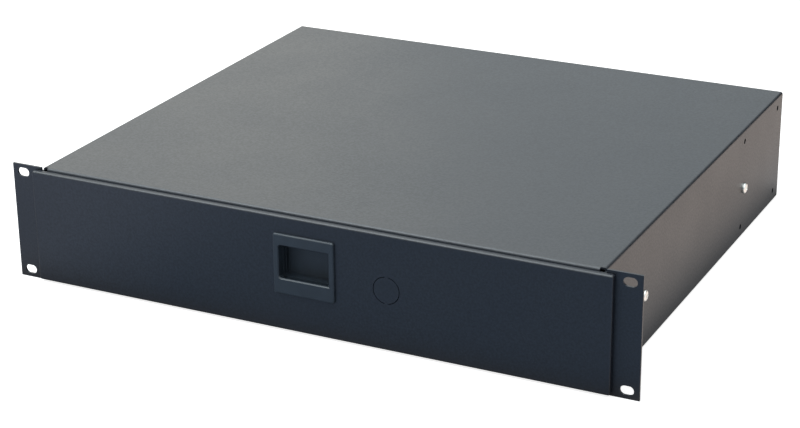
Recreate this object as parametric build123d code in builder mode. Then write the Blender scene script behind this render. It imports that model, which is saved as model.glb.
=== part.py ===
"""Sliding rack drawer, two rack units high, for a 19-inch rack.

Millimetres. +X is right as seen from the front, -Y is the front, +Z is up. The origin is the centre
of the four ear slots on the rear faces of the ears, where they meet the rails of the rack.
"""

import os
from math import atan2, cos, degrees, radians, sin

from build123d import *

# Rack interface, from the 19-inch rack standard: two units of 44.45 high
rack_width = 482.6
rack_height = 88.9
slot_inset_x = 8.75
slot_inset_z = 6.35
slot_length = 9.6
slot_height = 6.6

# Case
ear_reach = 25.3
case_play = 0.8
case_depth = 384.0
case_sheet = 1.5
case_bend = 0.5
lip_height = 6.15
lip_end_gap = 4.5
bottom_flange = 12.0
rear_flange = 6.0
panel_gap = 0.3

# Drawer front
front_overlap = 6.3
front_height_play = 3.6
front_centre_z = -0.3
front_stand_off = 4.5
front_sheet = 1.5
front_edge_radius = 1.4
front_gap = 0.3

# Tray
tray_sheet = 1.2
tray_bend = 0.8
tray_top_drop = 12.5
tray_rear_gap = 16.5
floor_clearance = 2.5
tray_rim = 7.0

# Slides, per side; s counts inwards from the case side, as in the profile sketches
slide_thickness = 12.7
slide_front_y = 2.0
slide_rear_gap = 32.0
slide_height_above_bottom = 40.05
slide_sheet = 1.2
slide_bend = 0.9
outer_height = 45.5
ball_radius = 2.0
ball_clearance = 0.05
ball_sides = 8
race_outer_s = 8.9
race_inner_s = 5.4
outer_hook_angle = 25.0
middle_hook_angle = 320.0
inner_hook_angle = 255.0
middle_shortening = 2.0
cage_thickness = 0.4
cage_gap = 0.25
cage_length = 120.0
cage_inset = 12.0
cage_rim = 0.6
balls_per_row = 3
ball_pitch = 50.0

# Screws, from the ends of the slides
case_screw_insets = (70.0, 61.0)
case_screw_radius = 2.0
case_screw_head_radius = 4.0
case_screw_head_height = 2.4
tray_screw_insets = (36.0, 26.0)
tray_screw_radius = 2.0
tray_screw_head_radius = 3.5
tray_screw_head_height = 2.0
head_bevel_share = 0.45
head_bevel_slope = 1.6
drive_length_share = 1.05
drive_width_share = 0.24
hole_clearance = 0.15

# Support holes and bumpers
support_hole_radius = 2.1
support_pitch_y = 83.5
support_inset_y = 54.4
support_inset_z = 9.4
bumper_size = 5.0
bumper_edge_gap = 0.5
bumper_inset_z = 12.25

# Lock knock-out, from the centre of the latch
knockout_x = 62.0
knockout_drop = 5.6
knockout_radius = 9.5
knockout_groove = 0.5
knockout_tab = 2.4
knockout_relief_radius = 11.5

# Latch housing; heights within the latch are from its centre
latch_drop = 36.65
tub_width = 42.6
tub_height = 40.6
tub_gap = 0.25
bezel_overlap_x = 2.1
bezel_overlap_z = 1.9
bezel_thickness = 2.0
bezel_radius = 1.6
bezel_edge_radius = 1.2
opening_edge = 0.7
latch_wall = 1.5
opening_inset_x = 2.05
opening_inset_top = 6.5
opening_inset_bottom = 9.7
opening_radius = 2.0
recess_depth = 12.6
recess_step = 0.6
recess_step_depths = (6.3, 9.5)
groove_length = 3.6
groove_depth = 1.8
cover_thickness = 1.5
boss_radius = 2.7
boss_inset = 3.9
boss_drop = 5.4
cover_screw_radius = 1.25
cover_screw_length = 8.0
cover_screw_head_radius = 2.3
cover_screw_head_height = 1.6
snap_height = 14.0
snap_depth = 1.1
snap_length = 6.0

# Latch trigger, bolt and spring
pivot_y = 5.5
pivot_inset_top = 4.5
pin_radius = 1.25
pin_clearance = 0.05
hub_radius = 2.6
trigger_inset_x = 4.3
trigger_plate = 1.6
trigger_edge_radius = 0.7
trigger_front_y = -3.5
trigger_arm = 12.0
arm_width_share = 0.5
trigger_arm_rest = 8.0
trigger_tip_radius = 1.2
arm_share = 0.8
tip_clearance = 0.3
bolt_inset_x = 12.3
bolt_thickness = 5.0
bolt_lip_gap = 0.5
bolt_nose = 1.2
bolt_edge_radius = 0.4
bolt_ramp_drop = 6.0
bolt_guide_gap = 0.2
bolt_bite = 2.0
guide_wall = 1.8
spring_height = 17.4
spring_width = 8.0
spring_strip = 0.3
spring_depth = 4.4
spring_folds = 6
spring_bend = 0.5

# Strike
strike_width = 36.0
strike_sheet = 1.5
strike_drop = 8.5
strike_foot = 14.0
strike_corner = 2.7
strike_gap = 0.3

# Rack slots and case, worked out from the sizes above
slot_pitch_x = rack_width - 2 * slot_inset_x
slot_pitch_z = rack_height - 2 * slot_inset_z
case_width = rack_width - 2 * ear_reach
case_height = rack_height - case_play
case_half = case_width / 2
case_inner = case_half - case_sheet
case_top_z = case_height / 2
case_bottom_z = -case_height / 2
ear_front_y = -case_sheet
flange_top_z = case_bottom_z + case_sheet
floor_top_z = flange_top_z + case_sheet
lip_width = case_width - 2 * lip_end_gap
support_centre_y = case_depth - support_inset_y
support_pitch_z = case_height - 2 * support_inset_z

# Drawer front and tray
front_width = case_width + 2 * front_overlap
front_height = case_height - front_height_play
front_face_y = ear_front_y - front_stand_off
front_back_y = front_face_y + front_sheet
bumper_x = front_width / 2 - front_sheet - bumper_edge_gap - bumper_size / 2
bumper_z = front_height / 2 - bumper_inset_z
tray_half = case_inner - slide_thickness
tray_bottom_z = floor_top_z + floor_clearance
tray_top_z = case_top_z - tray_top_drop
tray_front_y = front_back_y
tray_back_y = case_depth - tray_rear_gap
tray_wall_back_y = tray_front_y + tray_sheet

# Slides; a full-extension slide runs out by its own length
slide_length = case_depth - slide_front_y - slide_rear_gap
slide_back_y = slide_front_y + slide_length
slide_travel = slide_length
slide_centre_z = case_bottom_z + slide_height_above_bottom
case_screw_positions = (slide_front_y + case_screw_insets[0], slide_back_y - case_screw_insets[1])
tray_screw_positions = (slide_front_y + tray_screw_insets[0], slide_back_y - tray_screw_insets[1])
race_radius = ball_radius + ball_clearance
race_centre_radius = race_radius + slide_sheet / 2
row_outer_z = outer_height / 2 - slide_sheet / 2 - race_centre_radius
race_offset_s = race_outer_s - race_inner_s
race_offset_z = (4 * race_centre_radius**2 - race_offset_s**2) ** 0.5
row_inner_z = row_outer_z - race_offset_z

# Latch
latch_centre_z = case_top_z - latch_drop
knockout_z = latch_centre_z - knockout_drop
tub_bottom_z = latch_centre_z - tub_height / 2
tub_top_z = latch_centre_z + tub_height / 2
bezel_width = tub_width + 2 * bezel_overlap_x
bezel_height = tub_height + 2 * bezel_overlap_z
bezel_front_y = front_face_y - bezel_thickness
recess_back_y = bezel_front_y + recess_depth
opening_width = tub_width - 2 * opening_inset_x
opening_height = tub_height - opening_inset_top - opening_inset_bottom
opening_bottom_z = tub_bottom_z + opening_inset_bottom
opening_centre_z = opening_bottom_z + opening_height / 2
boss_x = tub_width / 2 - boss_inset
boss_z = latch_centre_z - boss_drop
trigger_width = tub_width - 2 * trigger_inset_x
bolt_width = tub_width - 2 * bolt_inset_x
trigger_arm_width = bolt_width * arm_width_share
pivot_z = tub_top_z - pivot_inset_top
arm_tip_y = pivot_y + trigger_arm * cos(radians(trigger_arm_rest))
arm_tip_z = pivot_z + trigger_arm * sin(radians(trigger_arm_rest))
bolt_top_z = case_top_z - lip_height - bolt_lip_gap
bolt_front_y = arm_tip_y + trigger_tip_radius - bolt_bite
bolt_back_y = bolt_front_y + bolt_thickness
chamber_front_y = recess_back_y + latch_wall
chamber_rear_y = bolt_back_y + bolt_guide_gap
chamber_half = tub_width / 2 - latch_wall
chamber_floor_z = tub_bottom_z + latch_wall
bolt_bottom_z = chamber_floor_z + spring_height
chamber_top_z = tub_top_z - latch_wall
strike_bottom_z = case_top_z - case_sheet - strike_drop

os.makedirs("parts", exist_ok=True)
SIDES = (("left", -1), ("right", 1))


def save(part, name):
    """Label a finished piece and write it as the STEP file of its node."""
    part.label = name
    export_step(part, f"parts/{name}.step")


def side_plane(side, s=0.0):
    """Sketch plane parallel to the case sides, s inside them; its normal points inwards, local y is +Z."""
    x = side * (case_inner - s)
    return Plane(origin=(x, 0, 0), x_dir=(0, -side, 0), z_dir=(-side, 0, 0))


def side_point(side, y, z):
    """Point of a side plane that lies at y along the drawer and at height z."""
    return (-side * y, z)


# Case wrapper: top, sides, ears, front lip and bottom flanges folded from one sheet
outer_bend = case_sheet + case_bend
middle_bend = case_bend + case_sheet / 2
wall_line = case_half - case_sheet / 2
top_line = case_top_z - case_sheet / 2
flange_line = case_bottom_z + case_sheet / 2
with BuildPart() as case_wrapper:
    with BuildSketch(Plane.XZ.offset(-case_bend)) as shell_profile:
        with BuildLine():
            FilletPolyline(
                (-case_half + bottom_flange, flange_line),
                (-wall_line, flange_line),
                (-wall_line, top_line),
                (wall_line, top_line),
                (wall_line, flange_line),
                (case_half - bottom_flange, flange_line),
                radius=middle_bend,
            )
        trace(line_width=case_sheet)
    extrude(amount=-(case_depth - case_bend))
    with BuildSketch(Plane.YZ) as lip_profile:
        with BuildLine():
            FilletPolyline(
                (outer_bend, top_line),
                (ear_front_y + case_sheet / 2, top_line),
                (ear_front_y + case_sheet / 2, case_top_z - lip_height),
                radius=middle_bend,
            )
        trace(line_width=case_sheet)
    extrude(amount=lip_width / 2, both=True)
    for name, side in SIDES:
        with BuildSketch(Plane.XY) as ear_profile:
            with BuildLine():
                FilletPolyline(
                    (side * wall_line, outer_bend),
                    (side * wall_line, ear_front_y + case_sheet / 2),
                    (side * rack_width / 2, ear_front_y + case_sheet / 2),
                    radius=middle_bend,
                )
            trace(line_width=case_sheet)
        extrude(amount=case_height / 2 - outer_bend, both=True)
        with BuildSketch(Plane.XZ) as ear_plate:
            ear_strip = ear_reach - case_bend
            with Locations((side * (rack_width - ear_strip) / 2, 0)):
                Rectangle(ear_strip, case_height)
        extrude(amount=case_sheet)
    with BuildSketch(Plane.XZ) as ear_slots:
        with GridLocations(slot_pitch_x, slot_pitch_z, 2, 2):
            SlotOverall(slot_length, slot_height)
    extrude(amount=case_sheet, mode=Mode.SUBTRACT)
    with BuildSketch(Plane.YZ) as side_holes:
        with Locations([(y, slide_centre_z) for y in case_screw_positions]):
            Circle(case_screw_radius + hole_clearance)
        with Locations((support_centre_y, 0)):
            with GridLocations(support_pitch_y, support_pitch_z, 2, 2):
                Circle(support_hole_radius)
    extrude(amount=case_half, both=True, mode=Mode.SUBTRACT)
save(case_wrapper.part, "case_wrapper")

# Case floor, welded on top of the bottom flanges, with a low flange along its front edge
floor_line = flange_top_z + case_sheet / 2
with BuildPart() as case_floor:
    with BuildSketch(Plane.YZ) as floor_profile:
        with BuildLine():
            FilletPolyline(
                (case_depth - case_sheet - panel_gap, floor_line),
                (ear_front_y + case_sheet / 2, floor_line),
                (ear_front_y + case_sheet / 2, case_bottom_z),
                radius=middle_bend,
            )
        trace(line_width=case_sheet)
    extrude(amount=case_inner - case_bend, both=True)
    with BuildSketch(Plane.XZ.offset(-ear_front_y)) as flange_ends:
        for name, side in SIDES:
            with Locations((side * case_half, flange_top_z - bottom_flange / 2)):
                Rectangle(2 * (bottom_flange + panel_gap), bottom_flange)
    extrude(amount=-outer_bend - case_sheet, mode=Mode.SUBTRACT)
save(case_floor.part, "case_floor")

# Rear panel: a shallow pan whose flanges are welded to the sides and to the top
rear_bottom_z = floor_top_z
rear_top_z = case_top_z - case_sheet
with BuildPart() as rear_panel:
    with BuildSketch(Plane.XZ.offset(-case_depth)) as rear_outline:
        with Locations((0, (rear_bottom_z + rear_top_z) / 2)):
            Rectangle(2 * case_inner - 2 * case_bend, rear_top_z - rear_bottom_z)
    extrude(amount=rear_flange)
    back_face = rear_panel.faces().sort_by(Axis.Y)[-1]
    fillet(back_face.edges(), case_bend)
    offset(amount=-case_sheet, openings=rear_panel.faces().sort_by(Axis.Y)[0])
save(rear_panel.part, "rear_panel")

# Strike: an angle welded under the top sheet, and the latch bolt catches behind its blade
strike_back_y = bolt_front_y - strike_gap
with BuildPart() as strike_plate:
    with BuildSketch(Plane.YZ) as strike_profile:
        with BuildLine():
            FilletPolyline(
                (strike_back_y - strike_foot, rear_top_z - strike_sheet / 2),
                (strike_back_y - strike_sheet / 2, rear_top_z - strike_sheet / 2),
                (strike_back_y - strike_sheet / 2, strike_bottom_z),
                radius=case_bend + strike_sheet / 2,
            )
        trace(line_width=strike_sheet)
    extrude(amount=strike_width / 2, both=True)
    with BuildSketch(Plane.XZ) as strike_corners:
        with BuildLine():
            Polyline(
                (strike_width / 2, strike_bottom_z),
                (strike_width / 2, strike_bottom_z + strike_corner),
                (strike_width / 2 - strike_corner, strike_bottom_z),
                close=True,
            )
        make_face()
        mirror(about=Plane.YZ)
    extrude(amount=-bolt_back_y, mode=Mode.SUBTRACT)
save(strike_plate.part, "strike_plate")


def pan_screws(seat, places, head, shank, shank_length):
    """Pan-head screws with cross recesses: heads stand on the seat plane, shanks run the other way."""
    head_radius, head_height = head
    outward = Axis(seat.origin, seat.z_dir)
    with BuildPart() as screws:
        with BuildSketch(seat) as head_outline:
            with Locations(places):
                Circle(head_radius)
        extrude(amount=head_height)
        crowns = screws.faces().filter_by(GeomType.PLANE).sort_by(outward)[-len(places):]
        bevel = head_height * head_bevel_share
        chamfer(crowns.edges(), bevel, bevel * head_bevel_slope)
        with BuildSketch(seat) as shank_outline:
            with Locations(places):
                Circle(shank)
        extrude(amount=-shank_length)
        with BuildSketch(seat.offset(head_height)) as drive_outline:
            with Locations(places):
                Rectangle(head_radius * drive_length_share, head_radius * drive_width_share)
                Rectangle(head_radius * drive_width_share, head_radius * drive_length_share)
        extrude(amount=-head_height / 2, mode=Mode.SUBTRACT)
    return screws.part


# Slide mounting screws, driven from outside through the case side into the outer member
for name, side in SIDES:
    slide_screws = pan_screws(
        Plane(origin=(side * case_half, 0, 0), x_dir=(0, side, 0), z_dir=(side, 0, 0)),
        [(side * y, slide_centre_z) for y in case_screw_positions],
        (case_screw_head_radius, case_screw_head_height),
        case_screw_radius,
        case_sheet + slide_sheet,
    )
    save(slide_screws, f"slide_screws_{name}")


def profile_plane(side):
    """Plane of a slide's cross-section at its front end: local x is s, local y is height."""
    return Plane(
        origin=(side * case_inner, slide_front_y, slide_centre_z), x_dir=(-side, 0, 0), z_dir=(0, side, 0)
    )


def along(side, length):
    """Signed extrusion of a slide profile towards the rear."""
    return side * length


# One ball of the slides, with few facets because there are many
with BuildPart() as ball_form:
    for ball_plane in (Plane.XY, Plane.XZ, Plane.YZ):
        with BuildSketch(ball_plane) as ball_outline:
            RegularPolygon(ball_radius, ball_sides)
        extrude(amount=ball_radius, both=True, mode=Mode.ADD if ball_plane == Plane.XY else Mode.INTERSECT)
ball = ball_form.part

# Slide members: roll-formed channels with ball races; profiles are drawn for the upper half and mirrored
web_outer_s = slide_sheet / 2
web_middle_s = race_inner_s - race_centre_radius
web_inner_s = slide_thickness - slide_sheet / 2
corner_radius = slide_bend + slide_sheet / 2
race_angle = degrees(atan2(race_offset_z, race_offset_s))
outer_flange_z = row_outer_z + race_centre_radius
inner_flange_z = row_inner_z - race_centre_radius
for name, side in SIDES:
    profile = profile_plane(side)
    with BuildPart() as slide_outer:
        with BuildSketch(profile) as outer_profile:
            with BuildLine():
                FilletPolyline(
                    (web_outer_s, 0),
                    (web_outer_s, outer_flange_z),
                    (race_outer_s, outer_flange_z),
                    radius=corner_radius,
                )
                outer_race = (race_outer_s, row_outer_z)
                CenterArc(outer_race, race_centre_radius, 90, outer_hook_angle - 90)
            trace(line_width=slide_sheet)
            mirror(about=Plane.XZ)
        extrude(amount=along(side, slide_length))
        with BuildSketch(side_plane(side)) as outer_holes:
            with Locations([side_point(side, y, slide_centre_z) for y in case_screw_positions]):
                Circle(case_screw_radius + hole_clearance)
        extrude(amount=slide_sheet, mode=Mode.SUBTRACT)
    save(slide_outer.part, f"slide_outer_{name}")

    with BuildPart() as slide_middle:
        with BuildSketch(profile) as middle_profile:
            with BuildLine():
                Line((web_middle_s, 0), (web_middle_s, row_inner_z))
                inner_race = (race_inner_s, row_inner_z)
                CenterArc(inner_race, race_centre_radius, 180, race_angle - 180)
                turn = 180 + race_angle
                CenterArc(outer_race, race_centre_radius, turn, middle_hook_angle - turn)
            trace(line_width=slide_sheet)
            mirror(about=Plane.XZ)
        extrude(amount=along(side, slide_length - middle_shortening))
    save(slide_middle.part, f"slide_middle_{name}")

    with BuildPart() as slide_inner:
        with BuildSketch(profile) as inner_profile:
            with BuildLine():
                FilletPolyline(
                    (web_inner_s, 0),
                    (web_inner_s, inner_flange_z),
                    (race_inner_s, inner_flange_z),
                    radius=corner_radius,
                )
                CenterArc(inner_race, race_centre_radius, 270, inner_hook_angle - 270)
            trace(line_width=slide_sheet)
            mirror(about=Plane.XZ)
        extrude(amount=along(side, slide_length))
        with BuildSketch(side_plane(side, slide_thickness)) as inner_holes:
            with Locations([side_point(side, y, slide_centre_z) for y in tray_screw_positions]):
                Circle(tray_screw_radius + hole_clearance)
        extrude(amount=-slide_sheet, mode=Mode.SUBTRACT)
    save(slide_inner.part, f"slide_inner_{name}")

    # Ball cages: thin strips along the webs that carry the balls between the races
    cage_front_y = slide_front_y + slide_travel / 4 + cage_inset
    cage_web_outer = slide_sheet + cage_gap + cage_thickness / 2
    cage_web_inner = web_middle_s + slide_sheet / 2 + cage_gap + cage_thickness / 2
    first_ball_y = cage_front_y + (cage_length - (balls_per_row - 1) * ball_pitch) / 2
    ball_ys = [first_ball_y + i * ball_pitch for i in range(balls_per_row)]
    rows = (
        ("outer", cage_web_outer, race_outer_s, row_outer_z),
        ("inner", cage_web_inner, race_inner_s, row_inner_z),
    )
    for row, web_s, race_s, row_z in rows:
        with BuildPart() as ball_cage:
            with BuildSketch(profile.offset(along(side, cage_front_y - slide_front_y))) as cage_profile:
                with BuildLine():
                    Polyline((web_s, 0), (web_s, row_z), (race_s + race_radius + cage_rim, row_z))
                trace(line_width=cage_thickness)
                mirror(about=Plane.XZ)
            extrude(amount=along(side, cage_length))
            for level in (-1, 1):
                with BuildSketch(Plane.XY.offset(slide_centre_z + level * row_z)) as ball_windows:
                    with Locations([(side * (case_inner - race_s), y) for y in ball_ys]):
                        Rectangle(2 * race_radius, 2 * race_radius)
                extrude(amount=race_radius, both=True, mode=Mode.SUBTRACT)
        save(ball_cage.part, f"ball_cage_{row}_{name}")

        with BuildPart() as balls:
            for level in (-1, 1):
                row_place = (side * (case_inner - race_s), 0, slide_centre_z + level * row_z)
                with Locations([(row_place[0], y, row_place[2]) for y in ball_ys]):
                    add(ball)
        save(balls.part, f"balls_{row}_{name}")

# Tray: floor, sides with folded rims, rear wall with a rim, and a front wall behind the drawer front
tray_line = tray_half - tray_sheet / 2
tray_floor_line = tray_bottom_z + tray_sheet / 2
tray_rim_line = tray_top_z - tray_sheet / 2
tray_middle_bend = tray_bend + tray_sheet / 2
with BuildPart() as drawer_tray:
    with BuildSketch(Plane.XZ.offset(-tray_front_y)) as tray_profile:
        with BuildLine():
            FilletPolyline(
                (-tray_half + tray_rim, tray_rim_line),
                (-tray_line, tray_rim_line),
                (-tray_line, tray_floor_line),
                (tray_line, tray_floor_line),
                (tray_line, tray_rim_line),
                (tray_half - tray_rim, tray_rim_line),
                radius=tray_middle_bend,
            )
        trace(line_width=tray_sheet)
    extrude(amount=-(tray_back_y - tray_front_y))
    with BuildSketch(Plane.XZ.offset(-tray_front_y)) as wall_outline:
        with Locations((0, (tray_top_z + tray_bottom_z) / 2)):
            RectangleRounded(2 * tray_half, tray_top_z - tray_bottom_z, tray_bend + tray_sheet)
    extrude(amount=-tray_sheet)
    with BuildSketch(Plane.YZ) as rear_wall_profile:
        with BuildLine():
            FilletPolyline(
                (tray_back_y - tray_rim, tray_rim_line),
                (tray_back_y - tray_sheet / 2, tray_rim_line),
                (tray_back_y - tray_sheet / 2, tray_floor_line),
                (tray_back_y - tray_rim, tray_floor_line),
                radius=tray_middle_bend,
            )
        trace(line_width=tray_sheet)
    extrude(amount=tray_half - tray_bend - tray_sheet, both=True)
    with BuildSketch(Plane.XZ.offset(-tray_front_y)) as front_openings:
        with Locations((0, latch_centre_z)):
            Rectangle(tub_width + 2 * tub_gap, tub_height + 2 * tub_gap)
        with Locations((knockout_x, knockout_z)):
            Circle(knockout_relief_radius)
    extrude(amount=-tray_sheet, mode=Mode.SUBTRACT)
    with BuildSketch(Plane.YZ) as tray_side_holes:
        with Locations([(y, slide_centre_z) for y in tray_screw_positions]):
            Circle(tray_screw_radius + hole_clearance)
    extrude(amount=tray_half, both=True, mode=Mode.SUBTRACT)
save(drawer_tray.part, "drawer_tray")

# Screws from inside the tray into the inner members
for name, side in SIDES:
    tray_screws = pan_screws(
        Plane(origin=(side * (tray_half - tray_sheet), 0, 0), x_dir=(0, -side, 0), z_dir=(-side, 0, 0)),
        [(-side * y, slide_centre_z) for y in tray_screw_positions],
        (tray_screw_head_radius, tray_screw_head_height),
        tray_screw_radius,
        tray_sheet + slide_sheet,
    )
    save(tray_screws, f"tray_screws_{name}")

# Drawer front: a shallow pan with returned edges that stops just short of the ears
front_depth = front_stand_off - front_gap
with BuildPart() as drawer_front:
    with BuildSketch(Plane.XZ.offset(-front_face_y - front_depth)) as front_outline:
        with Locations((0, front_centre_z)):
            RectangleRounded(front_width, front_height, front_edge_radius)
    extrude(amount=front_depth)
    fillet(drawer_front.faces().sort_by(Axis.Y)[0].edges(), front_edge_radius)
    offset(amount=-front_sheet, openings=drawer_front.faces().sort_by(Axis.Y)[-1])
    with BuildSketch(Plane.XZ.offset(-front_face_y)) as front_cuts:
        with Locations((0, latch_centre_z)):
            Rectangle(tub_width + 2 * tub_gap, tub_height + 2 * tub_gap)
        with Locations((knockout_x, knockout_z)):
            Circle(knockout_radius + knockout_groove)
            Circle(knockout_radius, mode=Mode.SUBTRACT)
            tab_reach = knockout_radius + 2 * knockout_groove
            Rectangle(knockout_tab, 2 * tab_reach, mode=Mode.SUBTRACT)
    extrude(amount=-front_sheet, mode=Mode.SUBTRACT)
save(drawer_front.part, "drawer_front")

# Rubber bumpers on the back of the drawer front, facing the ears
with BuildPart() as front_bumpers:
    with BuildSketch(Plane.XZ.offset(-front_back_y)) as bumper_outline:
        with Locations((0, front_centre_z)):
            with GridLocations(2 * bumper_x, 2 * bumper_z, 2, 2):
                Rectangle(bumper_size, bumper_size)
    extrude(amount=-(front_depth - front_sheet))
save(front_bumpers.part, "front_bumpers")

# Latch housing: a moulding with a bezel, a stepped finger recess and a chamber for trigger and bolt
trigger_under_z = pivot_z - hub_radius
guide_half = bolt_width / 2 + bolt_guide_gap
bolt_middle_y = (bolt_front_y + bolt_back_y) / 2
with BuildPart() as latch_housing:
    with BuildSketch(Plane.XZ.offset(-front_face_y)) as tub_outline:
        with Locations((0, latch_centre_z)):
            Rectangle(tub_width, tub_height)
    extrude(amount=-(chamber_rear_y - front_face_y))
    with BuildSketch(Plane.XZ.offset(-front_face_y)) as bezel_outline:
        with Locations((0, latch_centre_z)):
            RectangleRounded(bezel_width, bezel_height, bezel_radius)
    extrude(amount=bezel_thickness)
    fillet(latch_housing.faces().sort_by(Axis.Y)[0].edges(), bezel_edge_radius)

    # Finger recess: each step is a little smaller than the one before it
    depths = (0, *recess_step_depths, recess_depth)
    for i in range(len(depths) - 1):
        with BuildSketch(Plane.XZ.offset(-bezel_front_y - depths[i])) as recess_outline:
            with Locations((0, opening_centre_z)):
                Rectangle(opening_width - 2 * i * recess_step, opening_height)
            fillet(recess_outline.vertices().sort_by(Axis.Z)[:2], opening_radius)
        extrude(amount=-(depths[i + 1] - depths[i]), mode=Mode.SUBTRACT)
    rim_edges = latch_housing.faces().sort_by(Axis.Y)[0].inner_wires()[0].edges()
    chamfer(rim_edges, opening_edge)
    with BuildSketch(Plane.XY.offset(opening_bottom_z + opening_radius)) as groove_outline:
        with Locations((0, front_face_y + groove_length / 2)):
            Rectangle(opening_width - 2 * opening_radius, groove_length)
    extrude(amount=-(groove_depth + opening_radius), mode=Mode.SUBTRACT)

    # Room for the trigger behind the upper band, open to the chamber
    with BuildSketch(Plane.XZ.offset(-front_face_y)) as trigger_room:
        with Locations((0, (trigger_under_z - tip_clearance + chamber_top_z) / 2)):
            Rectangle(trigger_width + 2 * tip_clearance, chamber_top_z - trigger_under_z + tip_clearance)
    extrude(amount=-(chamber_front_y - front_face_y), mode=Mode.SUBTRACT)
    with BuildSketch(Plane.XZ.offset(-chamber_front_y)) as chamber_outline:
        with Locations((0, (chamber_floor_z + chamber_top_z) / 2)):
            Rectangle(2 * chamber_half, chamber_top_z - chamber_floor_z)
    extrude(amount=-(chamber_rear_y - chamber_front_y), mode=Mode.SUBTRACT)

    # Guides for the bolt, and bosses for the cover screws
    with BuildSketch(Plane.XY.offset(chamber_floor_z)) as guide_outline:
        for name, side in SIDES:
            guide_middle_y = (bolt_front_y + chamber_rear_y) / 2 - guide_wall
            with Locations((side * (guide_half + guide_wall / 2), guide_middle_y)):
                Rectangle(guide_wall, chamber_rear_y - bolt_front_y + 2 * guide_wall)
            stop_middle_y = bolt_front_y - bolt_guide_gap - guide_wall / 2
            with Locations((side * (guide_half - guide_wall / 2), stop_middle_y)):
                Rectangle(guide_wall, guide_wall)
    extrude(amount=chamber_top_z - chamber_floor_z)
    with BuildSketch(Plane.XZ.offset(-chamber_front_y)) as boss_outline:
        with Locations([(side * boss_x, boss_z) for name, side in SIDES]):
            Circle(boss_radius)
    extrude(amount=-(chamber_rear_y - chamber_front_y))
    with BuildSketch(Plane.XZ.offset(-chamber_rear_y)) as pilot_outline:
        with Locations([(side * boss_x, boss_z) for name, side in SIDES]):
            Circle(cover_screw_radius + pin_clearance)
    extrude(amount=cover_screw_length, mode=Mode.SUBTRACT)

    # Way out for the bolt through the roof, and bores for the pin
    with BuildSketch(Plane.XY.offset(chamber_top_z)) as roof_outline:
        with Locations((0, (bolt_front_y + chamber_rear_y - bolt_guide_gap) / 2)):
            Rectangle(2 * guide_half, bolt_thickness + 2 * bolt_guide_gap)
    extrude(amount=latch_wall, mode=Mode.SUBTRACT)
    with BuildSketch(Plane.YZ) as pin_bores:
        with Locations((pivot_y, pivot_z)):
            Circle(pin_radius + pin_clearance)
    extrude(amount=tub_width / 2, both=True, mode=Mode.SUBTRACT)

    # Snap wedges that grip behind the front wall of the tray
    for name, side in SIDES:
        with BuildSketch(Plane.XY.offset(latch_centre_z - snap_height / 2)) as snap_outline:
            with BuildLine():
                Polyline(
                    (side * (tub_width / 2 - latch_wall / 2), tray_wall_back_y + pin_clearance),
                    (side * (tub_width / 2 + snap_depth), tray_wall_back_y + pin_clearance),
                    (side * tub_width / 2, tray_wall_back_y + snap_length),
                    (side * (tub_width / 2 - latch_wall / 2), tray_wall_back_y + snap_length),
                    close=True,
                )
            make_face()
        extrude(amount=snap_height)
save(latch_housing.part, "latch_housing")

# Latch cover, which closes the chamber and backs the bolt
cover_places = [(side * boss_x, boss_z) for name, side in SIDES]
with BuildPart() as latch_cover:
    with BuildSketch(Plane.XZ.offset(-chamber_rear_y)) as cover_outline:
        with Locations((0, latch_centre_z)):
            Rectangle(tub_width, tub_height)
        with Locations(cover_places):
            Circle(cover_screw_radius + hole_clearance, mode=Mode.SUBTRACT)
    extrude(amount=-cover_thickness)
save(latch_cover.part, "latch_cover")

cover_back = Plane(origin=(0, chamber_rear_y + cover_thickness, 0), x_dir=(-1, 0, 0), z_dir=(0, 1, 0))
cover_screws = pan_screws(
    cover_back,
    [(-x, z) for x, z in cover_places],
    (cover_screw_head_radius, cover_screw_head_height),
    cover_screw_radius,
    cover_screw_length,
)
save(cover_screws, "latch_cover_screws")

# Latch pin, pressed through both side walls of the housing
with BuildPart() as latch_pin:
    with BuildSketch(Plane.YZ) as pin_outline:
        with Locations((pivot_y, pivot_z)):
            Circle(pin_radius)
    extrude(amount=tub_width / 2, both=True)
save(latch_pin.part, "latch_pin")

# Latch trigger: a finger plate behind the upper band, a hub on the pin, and an arm into the bolt
with BuildPart() as latch_trigger:
    with BuildSketch(Plane.YZ) as plate_profile:
        with Locations(((trigger_front_y + pivot_y) / 2, trigger_under_z + trigger_plate / 2)):
            Rectangle(pivot_y - trigger_front_y, trigger_plate)
        fillet(plate_profile.vertices().sort_by(Axis.Y)[:2], trigger_edge_radius)
        with Locations((pivot_y, pivot_z)):
            Circle(hub_radius)
    extrude(amount=trigger_width / 2, both=True)
    with BuildSketch(Plane.YZ) as arm_profile:
        with Locations((arm_tip_y, arm_tip_z)):
            Circle(trigger_tip_radius)
        with BuildLine():
            Line((pivot_y, pivot_z), (arm_tip_y, arm_tip_z))
        trace(line_width=2 * trigger_tip_radius * arm_share)
    extrude(amount=trigger_arm_width / 2, both=True)
    with BuildSketch(Plane.YZ) as web_profile:
        with BuildLine():
            Polyline(
                (pivot_y, pivot_z - hub_radius),
                (pivot_y, pivot_z + hub_radius),
                (pivot_y + trigger_arm / 2, pivot_z + trigger_tip_radius),
                (pivot_y + trigger_arm / 2, pivot_z),
                close=True,
            )
        make_face()
    extrude(amount=trigger_plate, both=True)
    with BuildSketch(Plane.YZ) as hub_bore:
        with Locations((pivot_y, pivot_z)):
            Circle(pin_radius + pin_clearance)
    extrude(amount=trigger_width / 2, both=True, mode=Mode.SUBTRACT)
save(latch_trigger.part, "latch_trigger")

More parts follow.
